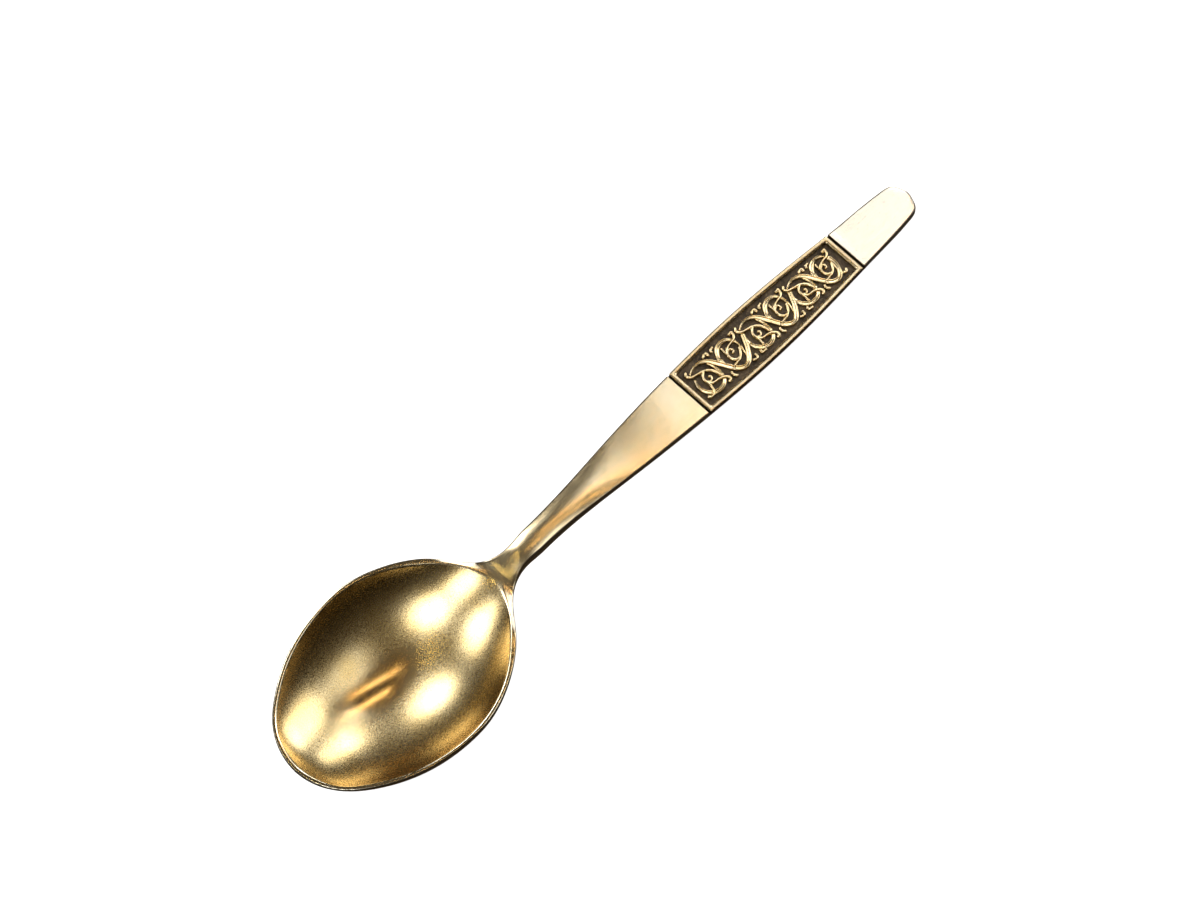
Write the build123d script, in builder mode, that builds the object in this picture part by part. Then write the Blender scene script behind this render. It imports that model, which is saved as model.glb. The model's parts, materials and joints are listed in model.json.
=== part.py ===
"""Souvenir spoon: a struck spoon with a scrollwork plaque let into its handle.

The spoon lies face up along X, the bowl's tip at low X and the handle's end at high X. It rests
on z = 0 under the bowl and under the handle's end. The origin is under the middle of its length.
"""
from build123d import *
import math
import os

# ---------------------------------------------------------------- driving dimensions, mm
total_length = 140.0

# Bowl. Distances along the spoon are from the bowl's tip.
bowl_width = 32.3
bowl_widest_at = 24.3
bowl_depth = 7.7            # hollow, below the rim
bowl_wall = 1.1             # metal under the deepest place
rim_height = 8.8            # rim above the table
rim_width = 0.6             # flat of the rim, beside the hollow
tip_droop = 0.3             # how much lower the rim is at the tip
rear_dip = 1.1              # how much lower the rim is at the hollow's back end
rear_dip_from = 37.0        # where it starts to dip towards there
hollow_end_at = 44.25       # back end of the hollow
section_flatness = 0.75     # height over width of the circle that the bowl's section follows

# Neck and stem
neck_at = 53.0
neck_width = 4.4
neck_thickness = 2.75
throat_thickness = 1.8      # at the hollow's back end
waist_at = 49.0             # narrowest place, in front of the neck
waist_rise = 0.1            # top of the waist above the rim
neck_rise = 0.5             # top of the neck above the rim
stem_thickness = 2.2
arch_at = 70.0              # where the stem turns down towards the handle
arch_drop = 0.25            # top of the stem below the rim, before the arch
arch_lead = 5.0             # how far before the arch that is
arch_tail = 2.0             # how far past the arch the stem is in line with the handle
arch_sag = 0.2              # how far below that line it still is there
stem_run = 12.0             # from the arch to where the underside is in line as well

# Handle. Distances along it are from the handle's end.
handle_width = 10.15
handle_widest_from_end = 38.0
handle_thickness = 2.2
end_width = 6.55
end_round = 2.9             # length of the rounded corners
end_height = 1.75           # top of the handle's end above the table
end_underside_share = 0.85  # thickness at the plaque's far end, as a share of the handle's

# Plaque, in a seat cut across the handle
plaque_from_end = 15.15
plaque_length = 36.3
plaque_slope = 5.8          # degrees, down towards the handle's end
plaque_mid_height = 4.45    # top of the plaque's middle above the table
plaque_thickness = 0.95
groove_width = 0.45         # gap between plaque and seat, at each end
seat_lead = 4.0             # straight length of the handle before the plaque
seat_tail = 2.0             # and past it
border_width = 0.9
border_depth = 0.6          # border's top above the dark ground
ground_thickness = 0.12

# Scrollwork, standing on the dark ground. Its points, below, are drawn for a window of this size.
drawn_length = 34.5
drawn_width = 8.35
relief_height = 0.5
vine_width = 0.8
ring_width = 0.72
tendril_width = 0.44
bud_radius = 0.3
fine_share = 0.8            # the thinner strands and smaller beads, as a share of the usual
broad_share = 1.2           # the larger beads, the same way
crossing_gap = 0.05         # where one strand passes over another
repeat_starts = (0.0, 11.65, 22.7)
repeat_lengths = (1.0, 0.953, 0.92)
repeat_heights = (0.98, 0.98, 0.88)

# ---------------------------------------------------------------- places worked out from them
tip_x = -total_length / 2
end_x = total_length / 2
widest_x = tip_x + bowl_widest_at
hollow_end_x = tip_x + hollow_end_at
dip_start_x = tip_x + rear_dip_from
dip_mid_x = (dip_start_x + hollow_end_x) / 2
neck_x = tip_x + neck_at
waist_x = tip_x + waist_at
arch_x = tip_x + arch_at
handle_widest_x = end_x - handle_widest_from_end
plaque_end_x = end_x - plaque_from_end
plaque_start_x = plaque_end_x - plaque_length
plaque_mid_x = (plaque_start_x + plaque_end_x) / 2
fall = math.tan(math.radians(plaque_slope))
wide = 2 * bowl_width       # anything wider and higher than the spoon, for cutting
high = 3 * rim_height
sunk = 0.03                 # the rounded underside dips this far below the flats it rests on
run_out = 0.4               # how far the tool that cuts the hollow runs on past its ends
rim_rise = 0.03             # slope of the rim at the tip

# The bowl's section is an arc of a circle about an axis above the rim, flattened by
# section_flatness. The circle's size follows from the hollow's width and depth.
hollow_half = bowl_width / 2 - rim_width
depth_drawn = bowl_depth / section_flatness
axis_drop = (hollow_half**2 - depth_drawn**2) / (2 * depth_drawn)
axis_height = rim_height + section_flatness * axis_drop


def plaque_height(x):
    """Height of the plaque's top, or of the handle in line with it, at x."""
    return plaque_mid_height - fall * (x - plaque_mid_x)


def rim_level(x):
    """Height of the bowl's rim at x."""
    before_widest = max(0.0, widest_x - x) / bowl_widest_at
    past_start = max(0.0, x - dip_start_x) / (hollow_end_x - dip_start_x)
    return rim_height - tip_droop * before_widest**2 - rear_dip * past_start**2


deck_points = (
    (tip_x, rim_height - tip_droop),
    (widest_x, rim_height),
    (dip_start_x, rim_height),
    (dip_mid_x, rim_level(dip_mid_x)),
    (hollow_end_x, rim_level(hollow_end_x)),
    (waist_x, rim_height + waist_rise),
    (neck_x, rim_height + neck_rise),
    (arch_x - arch_lead, rim_height - arch_drop),
    (arch_x + arch_tail, plaque_height(arch_x + arch_tail) - arch_sag),
)
seat_lead_x = plaque_start_x - seat_lead
seat_tail_x = plaque_end_x + seat_tail


def hollow_radius(x, half):
    """Radius of the unflattened bowl section at x, where the hollow's half width is half."""
    return math.hypot(half, (axis_height - rim_level(x)) / section_flatness)


# Half width of the hollow, as shares of its length and of its greatest half width
hollow_shape = (
    (0.035, 0.366),
    (0.135, 0.651),
    (0.235, 0.818),
    (0.333, 0.924),
    (0.505, 1.0),
    (0.66, 0.94),
    (0.75, 0.83),
    (0.82, 0.695),
    (0.87, 0.57),
    (0.92, 0.43),
    (0.96, 0.295),
    (0.985, 0.18),
)
hollow_start_x = tip_x + rim_width
hollow_length = hollow_end_x - hollow_start_x
hollow_line = [
    (hollow_start_x + along * hollow_length, across * hollow_half) for along, across in hollow_shape
]
hollow_profile = (
    [(hollow_start_x, hollow_radius(hollow_start_x, 0))]
    + [(x, hollow_radius(x, half)) for x, half in hollow_line]
    + [(hollow_end_x, hollow_radius(hollow_end_x, 0))]
)
# The tool that cuts the hollow runs on past both ends, where it is above the rim
hollow_tool_profile = (
    [(hollow_start_x - run_out, hollow_profile[0][1] - run_out)]
    + hollow_profile
    + [(hollow_end_x + run_out, hollow_profile[-1][1] - run_out / 2)]
)

# Underside, as the radius of the same kind of section, down to the flats the spoon rests on
wall_drawn = (bowl_wall + sunk) / section_flatness


def radius_below(height):
    """Radius of a section whose lowest point is at this height."""
    return (axis_height - height) / section_flatness


bowl_underside = [(x, radius + wall_drawn) for x, radius in hollow_profile[1:-3]]
stem_x = arch_x + stem_run
end_thickness = end_underside_share * handle_thickness
underside_profile = (
    [(tip_x, hollow_profile[0][1] + wall_drawn)]
    + bowl_underside
    + [
        (hollow_end_x, radius_below(rim_level(hollow_end_x) - throat_thickness)),
        (neck_x, radius_below(rim_height + neck_rise - neck_thickness)),
        (arch_x - arch_lead, radius_below(rim_height - arch_drop - stem_thickness)),
        (stem_x, radius_below(plaque_height(stem_x) - stem_thickness)),
        (plaque_mid_x, radius_below(plaque_mid_height - handle_thickness)),
        (plaque_end_x, radius_below(plaque_height(plaque_end_x) - end_thickness)),
        (end_x - end_round, radius_below(-sunk)),
        (end_x, radius_below(-sunk)),
    ]
)


# ---------------------------------------------------------------- outline seen from above
# Points of each stretch, as shares of its length and of its half width. The stem's and the
# taper's shares run from the narrower half width to the wider one, and the corner's from the end.
front_shape = ((0.095, 0.436), (0.285, 0.692), (0.57, 0.906))
shoulder_shape = ((0.29, 0.87), (0.526, 0.576), (0.69, 0.252))
waist_shape = ((0.77, 1.2), (0.86, 0.905))
stem_shape = ((0.4, 0.483), (0.72, 0.858))
taper_shape = ((0.5, 0.654), (0.76, 0.327))
corner_shape = ((0.4, 0.84), (0.12, 0.44))


def draw_outline(inset=0.0):
    """Makes the spoon's whole outline a face, with its stem and handle inset on both sides."""
    half_bowl = bowl_width / 2
    half_neck = neck_width / 2 - inset
    half_handle = handle_width / 2 - inset
    half_end = end_width / 2 - inset
    rear = neck_x - widest_x
    stem = handle_widest_x - neck_x
    taper = end_x - end_round - handle_widest_x
    along_x = (1, 0)
    across_x = (0, 1)
    with BuildLine() as edge_line:
        Spline(
            (tip_x, 0),
            *[(tip_x + along * bowl_widest_at, across * half_bowl) for along, across in front_shape],
            (widest_x, half_bowl),
            tangents=(across_x, along_x),
        )
        Spline(
            (widest_x, half_bowl),
            *[(widest_x + along * rear, across * half_bowl) for along, across in shoulder_shape],
            *[(widest_x + along * rear, across * half_neck) for along, across in waist_shape],
            (neck_x, half_neck),
            tangents=(along_x, along_x),
        )
        Spline(
            (neck_x, half_neck),
            *[
                (neck_x + along * stem, half_neck + across * (half_handle - half_neck))
                for along, across in stem_shape
            ],
            (handle_widest_x, half_handle),
            tangents=(along_x, along_x),
        )
        Spline(
            (handle_widest_x, half_handle),
            *[
                (handle_widest_x + along * taper, half_end + across * (half_handle - half_end))
                for along, across in taper_shape
            ],
            (end_x - end_round, half_end),
            *[(end_x - along * end_round, across * half_end) for along, across in corner_shape],
            (end_x, 0),
            tangents=(along_x, (0, -1)),
        )
        mirror(about=Plane.XZ)
    make_face(edge_line.edges())


# ---------------------------------------------------------------- spoon blank
with BuildPart() as hollow_tool:
    with BuildSketch(Plane.XZ):
        with BuildLine():
            Spline(*hollow_tool_profile)
            Polyline(
                hollow_tool_profile[-1],
                (hollow_tool_profile[-1][0], 0),
                (hollow_tool_profile[0][0], 0),
                hollow_tool_profile[0],
            )
        make_face()
    revolve(axis=Axis.X)
    scale(by=(1, 1, section_flatness), about=(0, 0, 0))

with BuildPart() as underside_tool:
    with BuildSketch(Plane.XZ):
        with BuildLine():
            Spline(*underside_profile)
            Polyline(underside_profile[-1], (end_x, 0), (tip_x, 0), underside_profile[0])
        make_face()
    revolve(axis=Axis.X)
    scale(by=(1, 1, section_flatness), about=(0, 0, 0))

axis_place = Location((0, 0, axis_height))
plaque_plane = Plane(
    origin=(plaque_start_x, 0, plaque_height(plaque_start_x)),
    x_dir=(1, 0, -fall),
    z_dir=(fall, 0, 1),
)
plaque_span = plaque_length / math.cos(math.radians(plaque_slope))

with BuildPart() as spoon_blank:
    with BuildSketch():
        draw_outline()
    extrude(amount=high)
    with BuildSketch(Plane.XZ):
        with BuildLine():
            Spline(
                *deck_points,
                (seat_lead_x, plaque_height(seat_lead_x)),
                tangents=((1, rim_rise), (1, -fall)),
            )
            Polyline(
                (seat_lead_x, plaque_height(seat_lead_x)),
                (seat_tail_x, plaque_height(seat_tail_x)),
                (end_x, end_height),
                (end_x, 0),
                (tip_x, 0),
                (tip_x, rim_height - tip_droop),
            )
        make_face()
    extrude(amount=wide, both=True, mode=Mode.INTERSECT)
    add(underside_tool.part.moved(axis_place), mode=Mode.INTERSECT)
    add(hollow_tool.part.moved(axis_place), mode=Mode.SUBTRACT)
    # seat for the plaque, right across the handle
    with BuildSketch(plaque_plane.offset(-plaque_thickness)):
        with Locations((-groove_width, 0)):
            Rectangle(plaque_span + 2 * groove_width, wide, align=(Align.MIN, Align.CENTER))
    extrude(amount=high, mode=Mode.SUBTRACT)
spoon_blank.part.label = "spoon_blank"

# ---------------------------------------------------------------- plaque
window_span = plaque_span - 2 * border_width

with BuildPart() as window:
    with BuildSketch():
        draw_outline(border_width)
    extrude(amount=high)
    with BuildSketch(plaque_plane.offset(-border_depth - ground_thickness)):
        with Locations((border_width, 0)):
            Rectangle(window_span, wide, align=(Align.MIN, Align.CENTER))
    extrude(amount=high, mode=Mode.INTERSECT)

with BuildPart() as plaque_tray:
    with BuildSketch():
        draw_outline()
    extrude(amount=high)
    with BuildSketch(plaque_plane.offset(-plaque_thickness)):
        Rectangle(plaque_span, wide, align=(Align.MIN, Align.CENTER))
    extrude(amount=plaque_thickness, mode=Mode.INTERSECT)
    add(window.part, mode=Mode.SUBTRACT)
plaque_tray.part.label = "plaque_tray"

with BuildPart() as black_ground:
    add(window.part)
    with BuildSketch(plaque_plane.offset(-border_depth - ground_thickness)):
        Rectangle(plaque_span, wide, align=(Align.MIN, Align.CENTER))
    extrude(amount=ground_thickness, mode=Mode.INTERSECT)
black_ground.part.label = "black_ground"

# ---------------------------------------------------------------- scrollwork
# Points along each strand's middle line, mm from the window's inner start and its centre line,
# for a repeat at full size.
vine_points = (
    (1.5, 2.28), (2.5, 2.7), (3.7, 2.83), (4.9, 2.33), (6.0, 0.95), (7.2, -1.27),
    (8.2, -2.55), (9.3, -2.93), (10.5, -2.3), (11.7, -0.75), (12.75, 1.2),
)
last_vine_points = vine_points[:8] + ((10.3, -2.45), (10.95, -1.4), (11.25, -0.1), (11.2, 1.1))
upper_ring_points = (
    (6.95, -0.5), (6.95, 1.0), (7.45, 1.95), (8.15, 2.6), (9.05, 2.86), (10.0, 2.68),
    (10.75, 2.05), (11.1, 1.0), (11.02, -0.2), (10.6, -1.6),
)
lower_ring_points = (
    (1.3, 0.95), (0.93, -0.1), (0.98, -1.15), (1.5, -2.1), (2.4, -2.75), (3.4, -2.9),
    (4.4, -2.6), (5.1, -1.9), (5.35, -0.9), (5.32, 0.3), (4.95, 1.7),
)
upper_curl_points = (
    (11.3, 2.95), (11.75, 3.0), (11.75, 2.45), (11.2, 1.88), (10.1, 1.62), (9.1, 1.32),
    (8.5, 0.55), (8.4, -0.3), (8.75, -0.95), (9.4, -1.15), (10.1, -0.8), (10.7, 0.1),
)
upper_spiral_points = ((8.7, 0.85), (9.2, 1.02), (9.62, 0.75), (9.62, 0.35), (9.42, 0.22))
upper_bar_points = ((8.5, 1.95), (8.42, 1.3), (8.4, 0.4))
upper_branch_points = ((7.8, -1.62), (8.6, -1.52), (9.4, -1.3), (9.9, -0.95))
lower_curl_points = (
    (1.15, 2.95), (0.88, 2.55), (1.1, 2.0), (1.9, 1.62), (3.0, 1.4), (4.1, 0.88),
    (4.75, 0.1), (4.98, -1.05),
)
lower_rise_points = ((2.5, -2.1), (2.55, -1.0), (2.52, -0.2), (2.75, 0.6), (3.35, 1.1))
first_rise_points = ((0.85, -2.6), (1.05, -2.85), (1.6, -2.85), (2.2, -2.4)) + lower_rise_points[1:]
lower_spiral_points = ((2.6, -0.55), (3.1, -0.82), (3.6, -0.6), (3.72, -0.25), (3.58, -0.08))
lower_branch_points = (
    (2.65, -0.75), (3.05, -1.25), (3.9, -1.42), (4.8, -1.62), (5.5, -2.1), (5.78, -2.7),
    (5.45, -2.95),
)
hook_points = ((10.92, -1.75), (10.98, -2.6), (11.4, -2.9), (11.8, -2.5))
top_buds = (((5.3, 3.0), (5.75, 3.25), (6.15, 3.1), (6.15, 2.7)), ((6.98, 2.75), (7.15, 3.1), (7.6, 3.2)))
stem_bud = ((6.67, -2.15), (6.62, -2.7), (6.9, -3.1))
base_buds = (
    ((10.85, -3.1), (11.3, -3.25), (11.72, -3.0), (11.75, -2.6)),
    ((12.85, -2.7), (12.85, -3.05), (13.55, -3.15)),
)

even = (1.0, 1.0)
pointed_start = (0.35, 1.0, 1.0, 1.0)
pointed_end = (0.7, 1.0, 1.1, 0.6, 0.5, 0.2)
crescent = (0.5, 0.8, 1.0, 1.1, 0.7, 0.7, 0.3)


def width_at(widths, share):
    """Width share at a share of a strand's length, between evenly spaced values."""
    place = share * (len(widths) - 1)
    low = min(int(place), len(widths) - 2)
    return widths[low] + (widths[low + 1] - widths[low]) * (place - low)


along_scale = (plaque_length - 2 * border_width) / drawn_length
across_scale = (handle_width - 2 * border_width) / drawn_width


def fitted(points, repeat):
    """Moves a strand's points into one of the three repeats, in the window as it is."""
    return [
        (
            border_width + along_scale * (repeat_starts[repeat] + repeat_lengths[repeat] * x),
            across_scale * repeat_heights[repeat] * y,
        )
        for x, y in points
    ]


def strand(points, repeat, width, widths=even, spare=0.0, mode=Mode.ADD):
    """Draws one strand: a band with round ends along a smooth line through the points."""
    middle = Edge.make_spline([Vector(x, y) for x, y in fitted(points, repeat)])
    steps = 2 * (len(points) - 1)
    left = []
    right = []
    for step in range(steps + 1):
        share = step / steps
        along = middle.tangent_at(share)
        reach = width * width_at(widths, share) / 2 + spare
        left.append(middle.position_at(share) + Vector(-along.Y, along.X) * reach)
        right.append(middle.position_at(share) - Vector(-along.Y, along.X) * reach)
    first_reach = width * widths[0] / 2 + spare
    last_reach = width * widths[-1] / 2 + spare
    with BuildLine() as band_line:
        Spline(*left)
        ThreePointArc(left[-1], middle.position_at(1) + middle.tangent_at(1) * last_reach, right[-1])
        Spline(*reversed(right))
        ThreePointArc(right[0], middle.position_at(0) - middle.tangent_at(0) * first_reach, left[0])
    make_face(band_line.edges(), mode=mode)


def bud(place, repeat, size=1.0, spare=0.0, mode=Mode.ADD):
    """Draws the round bead at a strand's end."""
    with Locations(fitted([place], repeat)):
        Circle(size * bud_radius + spare, mode=mode)


def draw_upper_tendril(repeat, spare=0.0, mode=Mode.ADD):
    """Draws the tendril that fills the loop at the top of a repeat."""
    strand(upper_curl_points, repeat, tendril_width, spare=spare, mode=mode)
    strand(upper_spiral_points, repeat, fine_share * tendril_width, spare=spare, mode=mode)
    strand(upper_bar_points, repeat, fine_share * tendril_width, spare=spare, mode=mode)
    strand(upper_branch_points, repeat, tendril_width, spare=spare, mode=mode)
    bud(upper_curl_points[0], repeat, spare=spare, mode=mode)
    bud(upper_spiral_points[-1], repeat, fine_share, spare=spare, mode=mode)


def draw_lower_tendril(repeat, spare=0.0, mode=Mode.ADD):
    """Draws the tendril that fills the loop at the bottom of a repeat."""
    rise = first_rise_points if repeat == 0 else lower_rise_points
    strand(lower_curl_points, repeat, tendril_width, spare=spare, mode=mode)
    strand(rise, repeat, tendril_width, spare=spare, mode=mode)
    strand(lower_spiral_points, repeat, fine_share * tendril_width, spare=spare, mode=mode)
    strand(lower_branch_points, repeat, tendril_width, spare=spare, mode=mode)
    bud(lower_curl_points[0], repeat, fine_share, spare=spare, mode=mode)
    bud(lower_spiral_points[-1], repeat, fine_share, spare=spare, mode=mode)
    bud(lower_branch_points[-1], repeat, broad_share, spare=spare, mode=mode)
    if repeat == 0:
        bud(first_rise_points[0], repeat, spare=spare, mode=mode)


def draw_vine(repeat, spare=0.0, mode=Mode.ADD):
    """Draws a repeat's length of the main vine."""
    points = last_vine_points if repeat == last_repeat else vine_points
    strand(points, repeat, vine_width, pointed_start, spare, mode)


def clear_of_tendrils(repeat):
    """Cuts the open sketch back from the tendrils of this repeat and the next."""
    for near in range(repeat, min(repeat + 1, last_repeat) + 1):
        draw_lower_tendril(near, crossing_gap, Mode.SUBTRACT)
    draw_upper_tendril(repeat, crossing_gap, Mode.SUBTRACT)


def clear_of_vines(repeat):
    """Cuts the open sketch back from this repeat's vine and the one before."""
    for near in range(max(repeat - 1, 0), repeat + 1):
        draw_vine(near, crossing_gap, Mode.SUBTRACT)


last_repeat = len(repeat_starts) - 1
relief_plane = plaque_plane.offset(-border_depth)
strands = []

for repeat in range(len(repeat_starts)):
    with BuildPart() as upper_tendril:
        with BuildSketch(relief_plane):
            draw_upper_tendril(repeat)
        extrude(amount=relief_height)
    upper_tendril.part.label = f"tendril_upper_{repeat + 1}"

    with BuildPart() as lower_tendril:
        with BuildSketch(relief_plane):
            draw_lower_tendril(repeat)
        extrude(amount=relief_height)
    lower_tendril.part.label = f"tendril_lower_{repeat + 1}"

    with BuildPart() as vine:
        with BuildSketch(relief_plane):
            draw_vine(repeat)
            clear_of_tendrils(repeat)
        extrude(amount=relief_height)
    vine.part.label = f"vine_{repeat + 1}"

    with BuildPart() as upper_ring:
        with BuildSketch(relief_plane):
            if repeat == last_repeat:
                strand(upper_ring_points[:7], repeat, ring_width, crescent)
            else:
                strand(upper_ring_points, repeat, ring_width, pointed_end)
            clear_of_vines(repeat)
            clear_of_tendrils(repeat)
        extrude(amount=relief_height)
    upper_ring.part.label = f"ring_upper_{repeat + 1}"

    with BuildPart() as lower_ring:
        with BuildSketch(relief_plane):
            strand(lower_ring_points, repeat, ring_width, crescent)
            clear_of_vines(repeat)
            clear_of_tendrils(repeat)
        extrude(amount=relief_height)
    lower_ring.part.label = f"ring_lower_{repeat + 1}"

    with BuildPart() as buds:
        with BuildSketch(relief_plane):
            for points in top_buds:
                strand(points, repeat, tendril_width, even)
            strand(stem_bud, repeat, tendril_width, even)
            if repeat == last_repeat:
                strand(hook_points, repeat, tendril_width, even)
            else:
                for points in base_buds:
                    strand(points, repeat, tendril_width, even)
            clear_of_vines(repeat)
            clear_of_tendrils(repeat)
        extrude(amount=relief_height)
    buds.part.label = f"buds_{repeat + 1}"

    strands += [part.part for part in (vine, upper_ring, lower_ring, upper_tendril, lower_tendril, buds)]

# ---------------------------------------------------------------- files
os.makedirs("parts", exist_ok=True)
for piece in [spoon_blank.part, plaque_tray.part, black_ground.part] + strands:
    export_step(piece, f"parts/{piece.label}.step")
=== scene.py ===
"""Looks for the souvenir spoon: gold plated metal with a scrollwork plaque let into its handle."""

import json
import math

import bmesh
import bpy
import numpy as np
from mathutils import Matrix, Vector, kdtree

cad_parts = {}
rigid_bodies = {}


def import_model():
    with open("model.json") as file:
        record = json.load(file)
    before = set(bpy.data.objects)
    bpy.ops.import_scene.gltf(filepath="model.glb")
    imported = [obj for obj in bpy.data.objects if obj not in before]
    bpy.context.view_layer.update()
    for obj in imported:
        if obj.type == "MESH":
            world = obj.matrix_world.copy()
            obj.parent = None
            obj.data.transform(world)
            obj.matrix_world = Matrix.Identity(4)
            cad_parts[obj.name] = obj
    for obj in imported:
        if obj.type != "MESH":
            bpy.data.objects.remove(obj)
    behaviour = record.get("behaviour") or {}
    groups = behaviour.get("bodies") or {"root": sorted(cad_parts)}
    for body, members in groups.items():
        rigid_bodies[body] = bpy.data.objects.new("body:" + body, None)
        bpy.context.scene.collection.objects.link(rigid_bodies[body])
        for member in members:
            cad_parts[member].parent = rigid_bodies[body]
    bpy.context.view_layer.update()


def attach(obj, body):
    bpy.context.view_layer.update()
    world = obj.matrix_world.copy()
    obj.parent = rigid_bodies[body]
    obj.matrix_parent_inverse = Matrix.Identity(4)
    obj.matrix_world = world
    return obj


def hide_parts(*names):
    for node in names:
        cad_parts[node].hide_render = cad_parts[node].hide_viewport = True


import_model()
MM = 0.001

# ---------------------------------------------------------------- dimensions, mm
# The same as in part.py, and so are the outline, the deck and the sections worked out from them.
TOTAL_LENGTH = 140.0
BOWL_WIDTH = 32.3
BOWL_WIDEST_AT = 24.3
BOWL_DEPTH = 7.7
BOWL_WALL = 1.1
RIM_HEIGHT = 8.8
RIM_WIDTH = 0.6
TIP_DROOP = 0.3
REAR_DIP = 1.1
REAR_DIP_FROM = 37.0
HOLLOW_END_AT = 44.25
FLATNESS = 0.75
NECK_AT = 53.0
NECK_WIDTH = 4.4
NECK_THICKNESS = 2.75
THROAT_THICKNESS = 1.8
WAIST_AT = 49.0
WAIST_RISE = 0.1
NECK_RISE = 0.5
STEM_THICKNESS = 2.2
ARCH_AT = 70.0
ARCH_DROP = 0.25
ARCH_LEAD = 5.0
ARCH_TAIL = 2.0
ARCH_SAG = 0.2
STEM_RUN = 12.0
HANDLE_WIDTH = 10.15
HANDLE_WIDEST_FROM_END = 38.0
HANDLE_THICKNESS = 2.2
END_WIDTH = 6.55
END_ROUND = 2.9
END_HEIGHT = 1.75
END_UNDERSIDE_SHARE = 0.85
PLAQUE_FROM_END = 15.15
PLAQUE_LENGTH = 36.3
PLAQUE_SLOPE = 5.8
PLAQUE_MID_HEIGHT = 4.45
PLAQUE_THICKNESS = 0.95
GROOVE_WIDTH = 0.45
SEAT_LEAD = 4.0
SEAT_TAIL = 2.0
BORDER_WIDTH = 0.9
BORDER_DEPTH = 0.6
RELIEF_HEIGHT = 0.5
SUNK = 0.03
RUN_OUT = 0.4
RIM_RISE = 0.03

TIP = -TOTAL_LENGTH / 2
END = TOTAL_LENGTH / 2
WIDEST = TIP + BOWL_WIDEST_AT
HOLLOW_START = TIP + RIM_WIDTH
HOLLOW_END = TIP + HOLLOW_END_AT
DIP_START = TIP + REAR_DIP_FROM
DIP_MID = (DIP_START + HOLLOW_END) / 2
WAIST = TIP + WAIST_AT
NECK = TIP + NECK_AT
ARCH = TIP + ARCH_AT
HANDLE_WIDEST = END - HANDLE_WIDEST_FROM_END
PLAQUE_END = END - PLAQUE_FROM_END
PLAQUE_START = PLAQUE_END - PLAQUE_LENGTH
PLAQUE_MID = (PLAQUE_START + PLAQUE_END) / 2
FALL = math.tan(math.radians(PLAQUE_SLOPE))
HOLLOW_HALF = BOWL_WIDTH / 2 - RIM_WIDTH
DEPTH_DRAWN = BOWL_DEPTH / FLATNESS
AXIS = RIM_HEIGHT + FLATNESS * (HOLLOW_HALF**2 - DEPTH_DRAWN**2) / (2 * DEPTH_DRAWN)


def smooth_line(points, start=None, end=None, per=40):
    """Samples a C2 spline through points; start and end are its directions there."""
    p = np.array(points, float)
    h = np.hypot(*np.diff(p, axis=0).T)
    n = len(p)
    matrix = np.zeros((n, n))
    right = np.zeros((n, 2))
    slopes = np.diff(p, axis=0) / h[:, None]
    for i in range(1, n - 1):
        matrix[i, i - 1 : i + 2] = h[i - 1], 2 * (h[i - 1] + h[i]), h[i]
        right[i] = 6 * (slopes[i] - slopes[i - 1])
    matrix[0, 0] = matrix[-1, -1] = 1
    if start is not None:
        matrix[0, :2] = 2 * h[0], h[0]
        right[0] = 6 * (slopes[0] - np.array(start) / math.hypot(*start))
    if end is not None:
        matrix[-1, -2:] = h[-1], 2 * h[-1]
        right[-1] = 6 * (np.array(end) / math.hypot(*end) - slopes[-1])
    m = np.linalg.solve(matrix, right)
    out = []
    for i in range(n - 1):
        t = (np.arange(per) / per * h[i])[:, None]
        first = slopes[i] - h[i] * (2 * m[i] + m[i + 1]) / 6
        out.append(p[i] + first * t + m[i] / 2 * t**2 + (m[i + 1] - m[i]) / (6 * h[i]) * t**3)
    return np.vstack(out + [p[-1:]])


def plaque_height(x):
    """Height of the plaque's top, or of the handle in line with it, at x."""
    return PLAQUE_MID_HEIGHT - FALL * (x - PLAQUE_MID)


def section_radius(height):
    """Radius of a section whose lowest point is at this height."""
    return (AXIS - height) / FLATNESS


def rim_level(x):
    """Height of the bowl's rim at x."""
    before_widest = max(0.0, WIDEST - x) / BOWL_WIDEST_AT
    past_start = max(0.0, x - DIP_START) / (HOLLOW_END - DIP_START)
    return RIM_HEIGHT - TIP_DROOP * before_widest**2 - REAR_DIP * past_start**2


def hollow_radius(x, half):
    """Radius of the unflattened section at x, where the hollow's half width is half."""
    return math.hypot(half, section_radius(rim_level(x)))


def between(start, end, shares, low, high):
    """Places points given as shares of a stretch and of a rise."""
    return [(start + a * (end - start), low + b * (high - low)) for a, b in shares]


half_bowl, half_neck = BOWL_WIDTH / 2, NECK_WIDTH / 2
half_handle, half_end = HANDLE_WIDTH / 2, END_WIDTH / 2
front_shape = ((0, 0), (0.095, 0.436), (0.285, 0.692), (0.57, 0.906), (1, 1))
shoulder_shape = ((0, 1), (0.29, 0.87), (0.526, 0.576), (0.69, 0.252))
waist_shape = ((0.77, 1.2), (0.86, 0.905), (1, 1))
stem_shape = ((0, 0), (0.4, 0.483), (0.72, 0.858), (1, 1))
taper_shape = ((0, 1), (0.5, 0.654), (0.76, 0.327))
corner_shape = ((1, 1), (0.4, 0.84), (0.12, 0.44), (0, 0))
stretches = (
    (between(TIP, WIDEST, front_shape, 0, half_bowl), (0, 1), (1, 0)),
    (
        between(WIDEST, NECK, shoulder_shape, 0, half_bowl)
        + between(WIDEST, NECK, waist_shape, 0, half_neck),
        (1, 0),
        (1, 0),
    ),
    (between(NECK, HANDLE_WIDEST, stem_shape, half_neck, half_handle), (1, 0), (1, 0)),
    (
        between(HANDLE_WIDEST, END - END_ROUND, taper_shape, half_end, half_handle)
        + between(END, END - END_ROUND, corner_shape, 0, half_end),
        (1, 0),
        (0, -1),
    ),
)
outline = np.vstack([smooth_line(*stretch)[:-1] for stretch in stretches] + [[(END, 0)]])

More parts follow.
